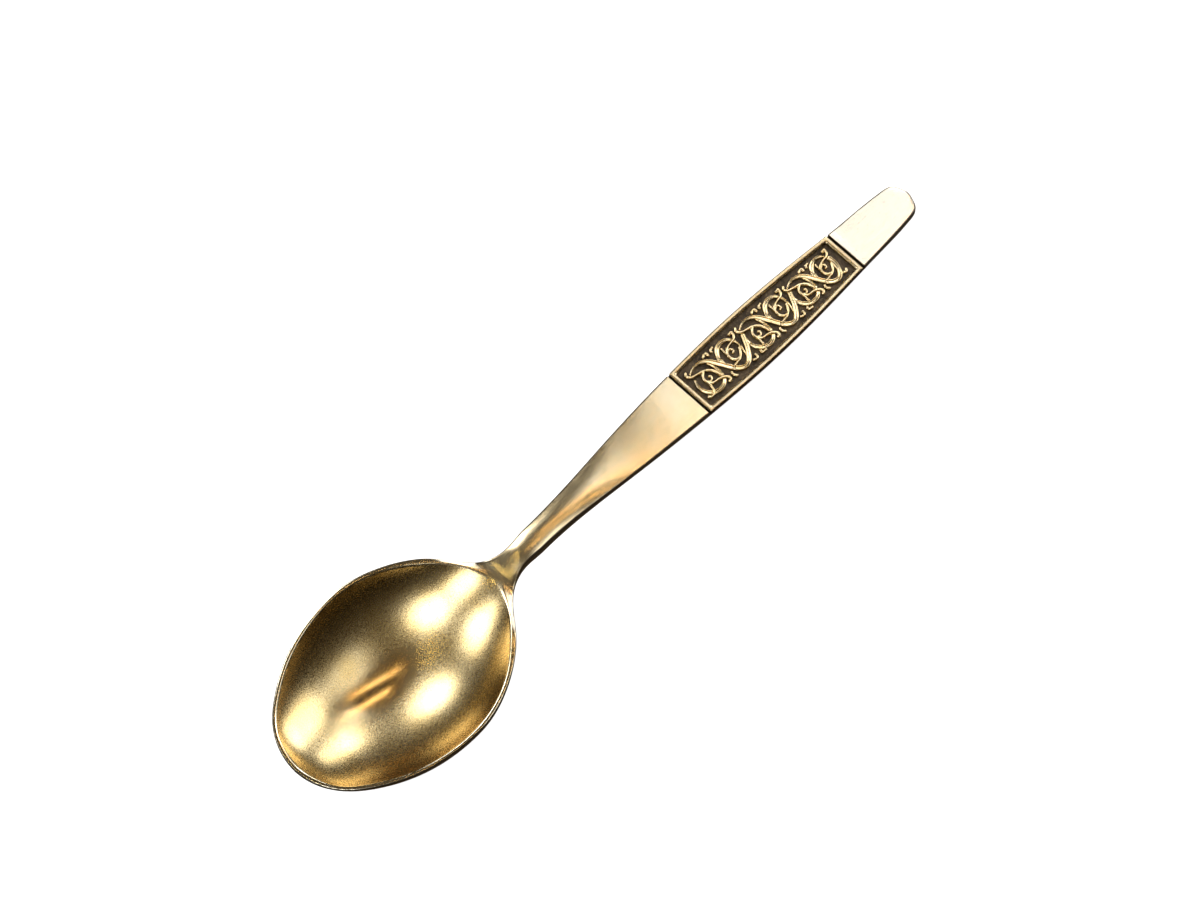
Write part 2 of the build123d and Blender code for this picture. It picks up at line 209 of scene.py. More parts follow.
seat_lead_x = PLAQUE_START - SEAT_LEAD
seat_tail_x = PLAQUE_END + SEAT_TAIL
deck_line = smooth_line(
    [
        (TIP, RIM_HEIGHT - TIP_DROOP),
        (WIDEST, RIM_HEIGHT),
        (DIP_START, RIM_HEIGHT),
        (DIP_MID, rim_level(DIP_MID)),
        (HOLLOW_END, rim_level(HOLLOW_END)),
        (WAIST, RIM_HEIGHT + WAIST_RISE),
        (NECK, RIM_HEIGHT + NECK_RISE),
        (ARCH - ARCH_LEAD, RIM_HEIGHT - ARCH_DROP),
        (ARCH + ARCH_TAIL, plaque_height(ARCH + ARCH_TAIL) - ARCH_SAG),
        (seat_lead_x, plaque_height(seat_lead_x)),
    ],
    (1, RIM_RISE),
    (1, -FALL),
)
deck_line = np.vstack([deck_line, [(seat_tail_x, plaque_height(seat_tail_x)), (END, END_HEIGHT)]])

hollow_shape = (
    (0.0, 0.0),
    (0.035, 0.366),
    (0.135, 0.651),
    (0.235, 0.818),
    (0.333, 0.924),
    (0.505, 1.0),
    (0.66, 0.94),
    (0.75, 0.83),
    (0.82, 0.695),
    (0.87, 0.57),
    (0.92, 0.43),
    (0.96, 0.295),
    (0.985, 0.18),
    (1.0, 0.0),
)
hollow_profile = [
    (x, hollow_radius(x, half))
    for x, half in between(HOLLOW_START, HOLLOW_END, hollow_shape, 0, HOLLOW_HALF)
]
hollow_line = smooth_line(
    [(HOLLOW_START - RUN_OUT, hollow_profile[0][1] - RUN_OUT)]
    + hollow_profile
    + [(HOLLOW_END + RUN_OUT, hollow_profile[-1][1] - RUN_OUT / 2)]
)
wall_drawn = (BOWL_WALL + SUNK) / FLATNESS
stem_x = ARCH + STEM_RUN
end_thickness = END_UNDERSIDE_SHARE * HANDLE_THICKNESS
under_line = smooth_line(
    [(TIP, hollow_profile[0][1] + wall_drawn)]
    + [(x, radius + wall_drawn) for x, radius in hollow_profile[1:-3]]
    + [
        (HOLLOW_END, section_radius(rim_level(HOLLOW_END) - THROAT_THICKNESS)),
        (NECK, section_radius(RIM_HEIGHT + NECK_RISE - NECK_THICKNESS)),
        (ARCH - ARCH_LEAD, section_radius(RIM_HEIGHT - ARCH_DROP - STEM_THICKNESS)),
        (stem_x, section_radius(plaque_height(stem_x) - STEM_THICKNESS)),
        (PLAQUE_MID, section_radius(PLAQUE_MID_HEIGHT - HANDLE_THICKNESS)),
        (PLAQUE_END, section_radius(plaque_height(PLAQUE_END) - end_thickness)),
        (END - END_ROUND, section_radius(-SUNK)),
        (END, section_radius(-SUNK)),
    ]
)


def half_width(x):
    """Half width of the spoon at x."""
    return np.interp(x, *outline.T)


def deck_height(x):
    """Height of the rim, stem and handle at x."""
    return np.interp(x, *deck_line.T)


def hollow_height(x, y):
    """Height of the hollow's surface."""
    radius = np.interp(x, *hollow_line.T)
    return AXIS - FLATNESS * np.sqrt(np.maximum(radius**2 - y**2, 0))


def under_height(x, y):
    """Height of the underside."""
    radius = np.interp(x, *under_line.T)
    return np.maximum(AXIS - FLATNESS * np.sqrt(np.maximum(radius**2 - y**2, 0)), 0)


# ---------------------------------------------------------------- materials
def start_material(name):
    """A new material with its Principled shader, and the object's own coordinates in mm."""
    material = bpy.data.materials.new(name)
    material.use_nodes = True
    tree = material.node_tree
    shader = tree.nodes["Principled BSDF"]
    coords = tree.nodes.new("ShaderNodeTexCoord")
    scale = tree.nodes.new("ShaderNodeMapping")
    scale.inputs["Scale"].default_value = (1 / MM,) * 3
    tree.links.new(coords.outputs["Object"], scale.inputs["Vector"])
    return material, tree, shader, scale.outputs["Vector"]


def noise(tree, vector, scale, detail=3.0, stretch=(1, 1, 1), roughness=0.5):
    """Noise over a vector in mm; stretch squeezes it along each axis."""
    mapping = tree.nodes.new("ShaderNodeMapping")
    mapping.inputs["Scale"].default_value = stretch
    tree.links.new(vector, mapping.inputs["Vector"])
    made = tree.nodes.new("ShaderNodeTexNoise")
    made.inputs["Scale"].default_value = scale
    made.inputs["Detail"].default_value = detail
    made.inputs["Roughness"].default_value = roughness
    tree.links.new(mapping.outputs["Vector"], made.inputs["Vector"])
    return made.outputs["Fac"]


def spread(tree, value, low, high, out_low=0.0, out_high=1.0):
    """Maps a value's range onto another, clamped."""
    made = tree.nodes.new("ShaderNodeMapRange")
    names = ("From Min", "From Max", "To Min", "To Max")
    for name, number in zip(names, (low, high, out_low, out_high)):
        made.inputs[name].default_value = number
    tree.links.new(value, made.inputs["Value"])
    return made.outputs["Result"]


def calculate(tree, operation, a, b):
    """One step of arithmetic on sockets or numbers."""
    made = tree.nodes.new("ShaderNodeMath")
    made.operation = operation
    for place, value in enumerate((a, b)):
        if isinstance(value, (int, float)):
            made.inputs[place].default_value = value
        else:
            tree.links.new(value, made.inputs[place])
    return made.outputs["Value"]


def blend_colours(tree, share, low, high):
    """Mixes two colours; either may be a socket."""
    made = tree.nodes.new("ShaderNodeMix")
    made.data_type = "RGBA"
    tree.links.new(share, made.inputs["Factor"])
    for name, value in (("A", low), ("B", high)):
        socket = [s for s in made.inputs if s.name == name and s.type == "RGBA"][0]
        if isinstance(value, tuple):
            socket.default_value = (*value, 1)
        else:
            tree.links.new(value, socket)
    return [s for s in made.outputs if s.type == "RGBA"][0]


def attribute(tree, name):
    """A value stored on the mesh's points."""
    made = tree.nodes.new("ShaderNodeAttribute")
    made.attribute_name = name
    return made.outputs["Fac"]


def bump(tree, height, strength, distance, normal=None):
    """A bump of a height in mm."""
    made = tree.nodes.new("ShaderNodeBump")
    made.inputs["Strength"].default_value = strength
    made.inputs["Distance"].default_value = distance * MM
    tree.links.new(height, made.inputs["Height"])
    if normal is not None:
        tree.links.new(normal, made.inputs["Normal"])
    return made.outputs["Normal"]


GOLD = (0.87, 0.68, 0.34)
PALE_GOLD = (0.92, 0.76, 0.44)
DEEP_GOLD = (0.62, 0.42, 0.16)
# Whiter gold for the painted highlight towards the handle's end
HIGHLIGHT_WHITE_GOLD = (0.96, 0.9, 0.78)
POLISHED_LOW = (0.92, 0.77, 0.49)
POLISHED_HIGH = (0.94, 0.82, 0.57)
# Polished rim colour, made lighter as a painted highlight
RIM_POLISH_HIGHLIGHT_GOLD = (1.0, 0.94, 0.78)
PIT_BROWN = (0.35, 0.22, 0.08)
# Painted shade for the hollow's sides near the rim
HOLLOW_SHADE_BROWN = (0.2, 0.13, 0.045)
# Painted shade for the plaque's seat, the top's outer edge and the underside
PAINTED_SHADE_BLACK = (0.05, 0.03, 0.014)
# Painted shade at the foot of the tray's walls and the strands
BASE_SHADE_BROWN = (0.1, 0.065, 0.03)
GROUND_DARK = (0.03, 0.022, 0.014)
GROUND_BROWN = (0.09, 0.065, 0.04)
GROUND_SPECK = (0.3, 0.24, 0.15)


def weigh(tree, value, weight):
    """A value times a weight; either may be a number."""
    return calculate(tree, "MULTIPLY", value, weight)


def make_satin_gold():
    """Plated gold: frosted in the bowl, finely brushed lengthwise on the stem and handle.

    Values stored on the mesh say where it is frosted (frost) or worn smooth (worn), where the
    polished rim is, also painted lighter as a highlight (edge), how far it is painted paler as a
    highlight towards the handle's end (pale), and where painted shade darkens the hollow near the
    rim, and the seat, the top's outer edge and the underside (stain).
    """
    material, tree, shader, vector = start_material("satin_gold")
    frost = attribute(tree, "frost")
    edge = attribute(tree, "edge")
    stain = attribute(tree, "stain")
    cloud = noise(tree, vector, 0.22, 2)
    grain = noise(tree, vector, 3.4, 4, roughness=0.65)
    fine = noise(tree, vector, 6.5, 2)
    brushed = noise(tree, vector, 5.0, 3, (0.05, 1.3, 1.3))
    pits = noise(tree, vector, 3.4, 0)
    clouded = spread(tree, cloud, 0.35, 0.65)
    polished = blend_colours(tree, clouded, POLISHED_LOW, POLISHED_HIGH)
    plated = blend_colours(tree, clouded, GOLD, PALE_GOLD)
    base = blend_colours(tree, frost, polished, plated)
    # Painted highlight: the stem and handle turn whiter gold towards the handle's end
    base = blend_colours(tree, attribute(tree, "pale"), base, HIGHLIGHT_WHITE_GOLD)
    mottled = weigh(tree, spread(tree, grain, 0.3, 0.65, 0.35, 0.0), frost)
    base = blend_colours(tree, mottled, base, DEEP_GOLD)
    base = blend_colours(tree, spread(tree, pits, 0.2, 0.26, 0.45, 0.0), base, PIT_BROWN)
    # Painted shade: the hollow's sides near the rim are darkened
    base = blend_colours(tree, attribute(tree, "tarnish"), base, HOLLOW_SHADE_BROWN)
    # Polished rim: lighter colour as a painted highlight, with lower roughness
    base = blend_colours(tree, edge, base, RIM_POLISH_HIGHLIGHT_GOLD)
    # Painted shade: near black in the plaque's seat, a dark line along the top's outer edge, darker
    # underneath
    base = blend_colours(tree, stain, base, PAINTED_SHADE_BLACK)
    tree.links.new(base, shader.inputs["Base Color"])
    shader.inputs["Metallic"].default_value = 1.0
    satin = spread(tree, brushed, 0.3, 0.7, 0.17, 0.27)
    frosted = spread(tree, grain, 0.3, 0.7, 0.23, 0.31)
    difference = calculate(tree, "SUBTRACT", frosted, satin)
    rough = calculate(tree, "ADD", satin, weigh(tree, difference, frost))
    rough = calculate(tree, "SUBTRACT", rough, weigh(tree, edge, 0.12))
    rough = calculate(tree, "ADD", rough, weigh(tree, stain, 0.4))
    rough = calculate(tree, "SUBTRACT", rough, weigh(tree, attribute(tree, "worn"), 0.12))
    tree.links.new(rough, shader.inputs["Roughness"])
    frost_height = weigh(tree, calculate(tree, "ADD", grain, weigh(tree, fine, 0.5)), frost)
    brush_height = weigh(tree, brushed, calculate(tree, "SUBTRACT", 1.0, frost))
    normal = bump(tree, frost_height, 0.28, 0.04)
    normal = bump(tree, brush_height, 0.14, 0.03, normal)
    tree.links.new(normal, shader.inputs["Normal"])
    return material


def make_bright_gold(name, low, high, rough_low, rough_high):
    """Struck gold of the plaque: brighter, with small dents, and darkened with painted shade at the
    foot of its walls and strands.
    """
    material, tree, shader, vector = start_material(name)
    foot = attribute(tree, "foot")
    cloud = noise(tree, vector, 0.5, 2)
    dents = noise(tree, vector, 3.0, 3)
    fine = noise(tree, vector, 9.0, 2)
    base = blend_colours(tree, spread(tree, cloud, 0.35, 0.65), low, high)
    base = blend_colours(tree, spread(tree, dents, 0.28, 0.45, 0.35, 0.0), base, DEEP_GOLD)
    # Painted shade at the foot of walls and strands
    base = blend_colours(tree, foot, base, BASE_SHADE_BROWN)
    tree.links.new(base, shader.inputs["Base Color"])
    shader.inputs["Metallic"].default_value = 1.0
    tree.links.new(spread(tree, fine, 0.3, 0.7, rough_low, rough_high), shader.inputs["Roughness"])
    tree.links.new(bump(tree, dents, 0.3, 0.04), shader.inputs["Normal"])
    return material


def make_dark_ground():
    """The plaque's sunk ground: dark stain in fine hammered stipple."""
    material, tree, shader, vector = start_material("dark_ground")
    cells = tree.nodes.new("ShaderNodeTexVoronoi")
    cells.inputs["Scale"].default_value = 3.2
    tree.links.new(vector, cells.inputs["Vector"])
    speckle = noise(tree, vector, 5.0, 2)
    stain = noise(tree, vector, 0.5, 3)
    base = blend_colours(tree, spread(tree, stain, 0.35, 0.65), GROUND_DARK, GROUND_BROWN)
    base = blend_colours(tree, spread(tree, speckle, 0.55, 0.75, 0.0, 0.5), base, GROUND_SPECK)
    tree.links.new(base, shader.inputs["Base Color"])
    shader.inputs["Metallic"].default_value = 0.55
    tree.links.new(spread(tree, speckle, 0.3, 0.7, 0.5, 0.38), shader.inputs["Roughness"])
    tree.links.new(bump(tree, cells.outputs["Distance"], 0.7, 0.06), shader.inputs["Normal"])
    return material


satin_gold = make_satin_gold()
plaque_gold = make_bright_gold("plaque_gold", (0.66, 0.54, 0.35), (0.8, 0.68, 0.46), 0.18, 0.3)
relief_gold = make_bright_gold("relief_gold", (0.84, 0.67, 0.38), (0.95, 0.8, 0.52), 0.12, 0.22)
dark_ground = make_dark_ground()


# Crown of the stem and handle: places along them, and the height lost at their edges there
CROWN_AT = (-28, -24.5, -20, -14, -6, 2, 12, 62, END)
CROWN_DROP = (0, 0.12, 0.3, 0.42, 0.42, 0.12, 0.05, 0.08, 0.16)


def crown(x):
    """How much lower the stem and handle are at their edges than in the middle."""
    return np.interp(x, CROWN_AT, CROWN_DROP)


outline_tree = kdtree.KDTree(2 * len(outline))
for place, (x, half) in enumerate(outline):
    outline_tree.insert((x, half, 0), 2 * place)
    outline_tree.insert((x, -half, 0), 2 * place + 1)
outline_tree.balance()


def edge_distance(x, y):
    """Distance inside the outline, mm, found along the outline's own short pieces."""
    found = outline_tree.find_n((x, y, 0), 2)
    first, second = (np.array(item[0][:2]) for item in found)
    along = second - first
    share = np.clip(np.dot((x, y) - first, along) / max(np.dot(along, along), 1e-9), 0, 1)
    return float(np.hypot(*((x, y) - first - share * along)))


def rounded(distance, radius):
    """How far a rounded edge has dropped at a distance inside it."""
    inside = np.clip(1 - distance / radius, 0, 1)
    return radius * (1 - np.sqrt(1 - inside**2))


def soft_min(a, b, radius):
    """The lower of two heights, rounded where they cross."""
    share = np.clip(0.5 + 0.5 * (b - a) / radius, 0, 1)
    return b + (a - b) * share - radius * share * (1 - share)


def add_mesh(name, verts, faces, material, smooth=True):
    """Makes an object from points in mm."""
    mesh = bpy.data.meshes.new(name)
    mesh.from_pydata([tuple(v) for v in np.array(verts) * MM], [], faces)
    mesh.polygons.foreach_set("use_smooth", [smooth] * len(mesh.polygons))
    mesh.validate()
    obj = bpy.data.objects.new(name, mesh)
    bpy.context.scene.collection.objects.link(obj)
    mesh.materials.append(material)
    return obj


def bridge(count, size, closed=True):
    """Quads between count rows of size points; each row is a closed loop when closed."""
    faces = []
    for i in range(count - 1):
        for j in range(size if closed else size - 1):
            k = (j + 1) % size
            faces.append((i * size + j, i * size + k, (i + 1) * size + k, (i + 1) * size + j))
    return faces


# ---------------------------------------------------------------- spoon blank
SEAT_NORMAL = 1 / math.hypot(1, FALL)
seat_start = PLAQUE_START - GROOVE_WIDTH
seat_end = PLAQUE_END + GROOVE_WIDTH
TOP_COUNT = 96
SIDE_COUNT = 4
UNDER_COUNT = 56
UNDER_EDGE = 0.3
LEAST_WALL = 0.05
EDGE_RADIUS_AT = (-30, -15, 60, 66)
EDGE_RADIUS = (0.2, 0.34, 0.26, 0.3)
HOLLOW_RADIUS = 0.2
SEAT_RAMP = 0.05


def top_height(x, y, distance, half):
    """Height of the blank's top, with its rounded edges."""
    deck = float(deck_height(x)) - float(crown(x)) * (y / max(half, 1)) ** 2
    edge_radius = float(np.interp(x, EDGE_RADIUS_AT, EDGE_RADIUS))
    deck -= float(rounded(distance, edge_radius))
    if HOLLOW_START - RUN_OUT < x < HOLLOW_END + RUN_OUT:
        deck = float(soft_min(deck, hollow_height(x, y), HOLLOW_RADIUS))
    return deck


def seat_drop(x):
    """How far the plaque's seat lies below the handle at x, with its ends a little rounded."""
    inside = min(x - seat_start, seat_end - x)
    return PLAQUE_THICKNESS * min(max(inside / SEAT_RAMP, 0), 1) / SEAT_NORMAL


def blank_stations():
    """Places of the blank's cross sections, closer together where its shape changes faster."""
    near_tip = TIP + 7 * np.linspace(0, 1, 46) ** 2
    bowl = np.arange(TIP + 7.3, -33, 0.42)
    throat = np.arange(-33, -20, 0.17)
    stem = np.arange(-20, seat_start - 0.6, 0.5)
    seat = np.arange(seat_start + 1, seat_end - 0.8, 0.9)
    steps = np.array((-0.3, -0.12, -0.05, 0.0, 0.02, 0.05, 0.12, 0.4))
    tail = np.arange(seat_end + 0.7, END - 4.6, 0.4)
    near_end = END - 4.4 * np.linspace(1, 0, 44) ** 2
    front = [near_tip, bowl, throat, stem, seat_start + steps]
    return np.concatenate(front + [seat, seat_end - steps[::-1], tail, near_end])


stations = np.unique(np.round(blank_stations(), 4))
turn = np.linspace(-math.pi / 2, math.pi / 2, TOP_COUNT)
under_turn = np.linspace(math.pi / 2, -math.pi / 2, UNDER_COUNT)
blank_rows = []
for x in stations:
    half = float(half_width(x))
    drop = seat_drop(x)
    row = []
    for y in half * np.sin(turn):
        distance = edge_distance(x, y)
        height = top_height(x, y, distance, half)
        if drop:
            height = min(height, float(deck_height(x)) - drop)
        row.append((x, y, height))
    top_edge = row[-1][2]
    across, heights = np.array(row)[:, 1:].T
    bottom = []
    for y in half * np.sin(under_turn):
        lift = float(rounded(edge_distance(x, y), UNDER_EDGE))
        ceiling = float(np.interp(y, across, heights)) - LEAST_WALL
        bottom.append((x, y, min(float(under_height(x, y)) + lift, ceiling)))
    under_edge = bottom[0][2]
    sides = np.linspace(top_edge, under_edge, SIDE_COUNT + 2)[1:-1]
    row += [(x, half, z) for z in sides]
    row += bottom
    row += [(x, -half, z) for z in sides[::-1]]
    blank_rows.append(row)
ROW = len(blank_rows[0])
blank_faces = bridge(len(blank_rows), ROW)
blank_faces = [face[::-1] for face in blank_faces]
spoon = add_mesh("spoon_body", np.array(blank_rows).reshape(-1, 3), blank_faces, satin_gold)


# ---------------------------------------------------------------- plaque
# Points on the plaque are given by x, y and their height over its top, at right angles to it.
plaque_turn = math.radians(PLAQUE_SLOPE)
PLAQUE_SPAN = PLAQUE_LENGTH / math.cos(plaque_turn)
WINDOW_SPAN = PLAQUE_SPAN - 2 * BORDER_WIDTH


def on_plaque(along, across, height):
    """Place in the spoon's frame of a point given in the plaque's own."""
    x = PLAQUE_START + along * math.cos(plaque_turn) + height * math.sin(plaque_turn)
    drop = along * math.sin(plaque_turn)
    z = float(plaque_height(PLAQUE_START)) - drop + height * math.cos(plaque_turn)
    return (x, across, z)


def plaque_half(along):
    """Half width of the plaque at a place along it."""
    return float(half_width(PLAQUE_START + along * math.cos(plaque_turn)))


def plaque_loop(inset, height, corner, sides=72, ends=16, bends=6):
    """One closed loop round the plaque, inset from its edge, with rounded corners."""
    start, stop = inset, PLAQUE_SPAN - inset
    points = []
    for along in np.linspace(start + corner, stop - corner, sides):
        points.append((along, plaque_half(along) - inset))
    half = plaque_half(stop) - inset
    for angle in np.linspace(0, math.pi / 2, bends + 2)[1:-1]:
        points.append(
            (stop - corner + corner * math.sin(angle), half - corner + corner * math.cos(angle))
        )
    for across in np.linspace(half - corner, corner - half, ends):
        points.append((stop, across))
    for angle in np.linspace(0, math.pi / 2, bends + 2)[1:-1]:
        points.append(
            (stop - corner + corner * math.cos(angle), corner - half - corner * math.sin(angle))
        )
    for along in np.linspace(stop - corner, start + corner, sides):
        points.append((along, inset - plaque_half(along)))
    half = plaque_half(start) - inset
    for angle in np.linspace(0, math.pi / 2, bends + 2)[1:-1]:
        points.append(
            (start + corner - corner * math.sin(angle), corner - half - corner * math.cos(angle))
        )
    for across in np.linspace(corner - half, half - corner, ends):
        points.append((start, across))
    for angle in np.linspace(0, math.pi / 2, bends + 2)[1:-1]:
        points.append(
            (start + corner - corner * math.cos(angle), half - corner + corner * math.sin(angle))
        )
    return [on_plaque(along, across, height) for along, across in points]


# The tray's section, from its outer foot to its inner one: inset, height and corner radius
tray_profile = (
    (0.06, -PLAQUE_THICKNESS + 0.01, 0.2),
    (0.015, -PLAQUE_THICKNESS + 0.06, 0.2),
    (0.015, -0.16, 0.2),
    (0.035, -0.085, 0.2),
    (0.085, -0.03, 0.2),
    (0.16, -0.006, 0.2),
    (0.3, 0.0, 0.22),
    (0.5, -0.002, 0.24),
    (0.64, -0.02, 0.26),
    (0.72, -0.055, 0.28),
    (0.81, -0.12, 0.3),
    (0.875, -0.2, 0.3),
    (0.895, -0.3, 0.3),
    (0.9, -BORDER_DEPTH - 0.02, 0.3),
)
tray_rows = [plaque_loop(inset, height, corner) for inset, height, corner in tray_profile]
tray_size = len(tray_rows[0])
tray_faces = bridge(len(tray_rows), tray_size)
tray = add_mesh("plaque_frame", np.array(tray_rows).reshape(-1, 3), tray_faces, plaque_gold)

# Dark ground: a fine sheet with small hammered hollows, reaching a little under the border
GROUND_STEP = 0.14
GROUND_LAP = 0.01
GROUND_ROUGHNESS = 0.02
ground_rng = np.random.default_rng(11)
along_count = int(WINDOW_SPAN / GROUND_STEP)
across_count = 58
ground_rows = []
for i in range(along_count + 1):
    along = BORDER_WIDTH - GROUND_LAP + (WINDOW_SPAN + 2 * GROUND_LAP) * i / along_count
    half = plaque_half(along) - BORDER_WIDTH + GROUND_LAP
    inner = 0 < i < along_count
    row = []
    for j in range(across_count + 1):
        across = half * (2 * j / across_count - 1)
        rough = ground_rng.uniform(-GROUND_ROUGHNESS, 0.0) if inner and 0 < j < across_count else 0
        row.append(on_plaque(along, across, -BORDER_DEPTH + rough))
    ground_rows.append(row)
ground = add_mesh(
    "plaque_ground",
    np.array(ground_rows).reshape(-1, 3),
    [face[::-1] for face in bridge(len(ground_rows), across_count + 1, closed=False)],
    dark_ground,
)

# ---------------------------------------------------------------- scrollwork
# The strands' middle lines repeat part.py's points: mm from the window's inner start and its
# centre line, for a repeat at full size.
VINE_WIDTH = 0.86
RING_WIDTH = 0.78
TENDRIL_WIDTH = 0.5
BUD_RADIUS = 0.3
FINE_SHARE = 0.8
BROAD_SHARE = 1.2
RING_LIFT = 0.96
BUD_LIFT = 0.9
REPEAT_STARTS = (0.0, 11.65, 22.7)
REPEAT_LENGTHS = (1.0, 0.953, 0.92)
REPEAT_HEIGHTS = (0.98, 0.98, 0.88)
LAST = len(REPEAT_STARTS) - 1
vine_points = (
    (1.5, 2.28), (2.5, 2.7), (3.7, 2.83), (4.9, 2.33), (6.0, 0.95), (7.2, -1.27),
    (8.2, -2.55), (9.3, -2.93), (10.5, -2.3), (11.7, -0.75), (12.75, 1.2),
)
last_vine_points = vine_points[:8] + ((10.3, -2.45), (10.95, -1.4), (11.25, -0.1), (11.2, 1.1))
upper_ring_points = (
    (6.95, -0.5), (6.95, 1.0), (7.45, 1.95), (8.15, 2.6), (9.05, 2.86), (10.0, 2.68),
    (10.75, 2.05), (11.1, 1.0), (11.02, -0.2), (10.6, -1.6),
)
last_ring_points = upper_ring_points[:7]
lower_ring_points = (
    (1.3, 0.95), (0.93, -0.1), (0.98, -1.15), (1.5, -2.1), (2.4, -2.75), (3.4, -2.9),
    (4.4, -2.6), (5.1, -1.9), (5.35, -0.9), (5.32, 0.3), (4.95, 1.7),
)
upper_curl_points = (
    (11.3, 2.95), (11.75, 3.0), (11.75, 2.45), (11.2, 1.88), (10.1, 1.62), (9.1, 1.32),
    (8.5, 0.55), (8.4, -0.3), (8.75, -0.95), (9.4, -1.15), (10.1, -0.8), (10.7, 0.1),
)
upper_spiral_points = ((8.7, 0.85), (9.2, 1.02), (9.62, 0.75), (9.62, 0.35), (9.42, 0.22))
upper_bar_points = ((8.5, 1.95), (8.42, 1.3), (8.4, 0.4))
upper_branch_points = ((7.8, -1.62), (8.6, -1.52), (9.4, -1.3), (9.9, -0.95))
lower_curl_points = (
    (1.15, 2.95), (0.88, 2.55), (1.1, 2.0), (1.9, 1.62), (3.0, 1.4), (4.1, 0.88),
    (4.75, 0.1), (4.98, -1.05),
)
lower_rise_points = ((2.5, -2.1), (2.55, -1.0), (2.52, -0.2), (2.75, 0.6), (3.35, 1.1))
first_rise_points = ((0.85, -2.6), (1.05, -2.85), (1.6, -2.85), (2.2, -2.4)) + lower_rise_points[1:]
lower_spiral_points = ((2.6, -0.55), (3.1, -0.82), (3.6, -0.6), (3.72, -0.25), (3.58, -0.08))
lower_branch_points = (
    (2.65, -0.75), (3.05, -1.25), (3.9, -1.42), (4.8, -1.62), (5.5, -2.1), (5.78, -2.7),
    (5.45, -2.95),
)
hook_points = ((10.92, -1.75), (10.98, -2.6), (11.4, -2.9), (11.8, -2.5))
top_buds = (
    ((5.3, 3.0), (5.75, 3.25), (6.15, 3.1), (6.15, 2.7)),
    ((6.98, 2.75), (7.15, 3.1), (7.6, 3.2)),
)
stem_bud = ((6.67, -2.15), (6.62, -2.7), (6.9, -3.1))
base_buds = (
    ((10.85, -3.1), (11.3, -3.25), (11.72, -3.0), (11.75, -2.6)),
    ((12.85, -2.7), (12.85, -3.05), (13.55, -3.15)),
)

# How a strand's width changes from its start to its end, as shares of its full width
even = (1.0, 1.0)
pointed_start = (0.35, 1.0, 1.0, 1.0)
pointed_end = (0.7, 1.0, 1.1, 0.6, 0.5, 0.2)
crescent = (0.5, 0.8, 1.0, 1.1, 0.7, 0.7, 0.3)
BEAD_SIDES = 24


def place_on_plaque(x, y, repeat):
    """Moves a strand's point into one of the three repeats."""
    along = BORDER_WIDTH + REPEAT_STARTS[repeat] + REPEAT_LENGTHS[repeat] * x
    return (along, REPEAT_HEIGHTS[repeat] * y)


def centre_line(points, repeat, spacing=0.07):
    """Evenly spaced places and directions along a strand's smooth middle line."""
    fine = smooth_line([place_on_plaque(x, y, repeat) for x, y in points], per=60)
    lengths = np.concatenate([[0], np.cumsum(np.hypot(*np.diff(fine, axis=0).T))])
    count = max(int(lengths[-1] / spacing), 6)
    even_lengths = np.linspace(0, lengths[-1], count + 1)
    line = np.stack([np.interp(even_lengths, lengths, fine[:, k]) for k in (0, 1)], 1)
    along = np.gradient(line, axis=0)
    return line, along / np.hypot(*along.T)[:, None], even_lengths


# Half of a strand's section, from its foot to its middle, as shares of its half width and height
FLUTED = (
    (1.0, 0.0), (0.99, 0.45), (0.96, 0.7), (0.88, 0.88),
    (0.74, 0.98), (0.6, 1.0), (0.42, 0.95), (0.2, 0.88),
)
ROUND = (
    (1.0, 0.0), (0.98, 0.4), (0.93, 0.65), (0.8, 0.84),
    (0.62, 0.94), (0.45, 0.98), (0.3, 1.0), (0.15, 1.0),
)
CAP_TURNS = (0.15, 0.5, 0.9, 1.25)
FLUTE_DEPTH = 0.02
CAP_LOW, CAP_GAIN = 0.55, 0.45
THIN_LOW, THIN_GAIN, THIN_REACH = 0.62, 0.9, 0.4
UNDER_LOW, UNDER_GAIN = 0.52, 0.48
UNDER_CLEAR, UNDER_RAMP = 0.16, 0.3
BEAD_RINGS = 7
BEAD_TOP = 0.02
BEAD_LOW, BEAD_GAIN = 0.35, 0.6


def section_of(shape):
    """A strand's whole section, from one foot to the other."""
    middle = (0.0, shape[-1][1] - (FLUTE_DEPTH if shape is FLUTED else 0.0))
    return list(shape) + [middle] + [(-a, b) for a, b in reversed(shape)]


def cap(place, outward, direction, reach, turns):
    """Places that round off a strand's end: point, direction, reach and share of the height."""
    return [
        (place + outward * reach * math.cos(t), direction, reach * math.sin(t), math.sin(t))
        for t in turns
    ]


def sweep(points, repeat, width, widths, shape, over=(), lift=1.0):
    """Points and faces of a strand, lower where the strands named in over pass across it."""
    line, along, lengths = centre_line(points, repeat)
    section = section_of(shape)
    rows = []
    shares = np.linspace(0, 1, len(widths))
    total = lengths[-1]
    first = width * widths[0] / 2
    last = width * widths[-1] / 2
    places = cap(line[0], -along[0], along[0], first, CAP_TURNS)
    for place, direction, length in zip(line, along, lengths):
        reach = width * float(np.interp(length / total, shares, widths)) / 2
        places.append((place, direction, reach, 1.0))
    places += cap(line[-1], along[-1], along[-1], last, CAP_TURNS[::-1])
    for place, direction, reach, swell in places:
        side = np.array((-direction[1], direction[0]))
        height = RELIEF_HEIGHT * lift * (CAP_LOW + CAP_GAIN * math.sqrt(swell))
        height *= min(1.0, THIN_LOW + THIN_GAIN * reach / THIN_REACH)
        for other, clear in over:
            gap = float(np.min(np.hypot(*(other - place).T)))
            share = float(np.clip((gap - clear + UNDER_CLEAR) / UNDER_RAMP, 0, 1))
            height *= UNDER_LOW + UNDER_GAIN * share
        row = []
        for across, up in section:
            x, y = place + side * across * reach
            row.append(on_plaque(x, y, -BORDER_DEPTH + up * height))
        rows.append(row)
    return rows, bridge(len(rows), len(section), closed=False)


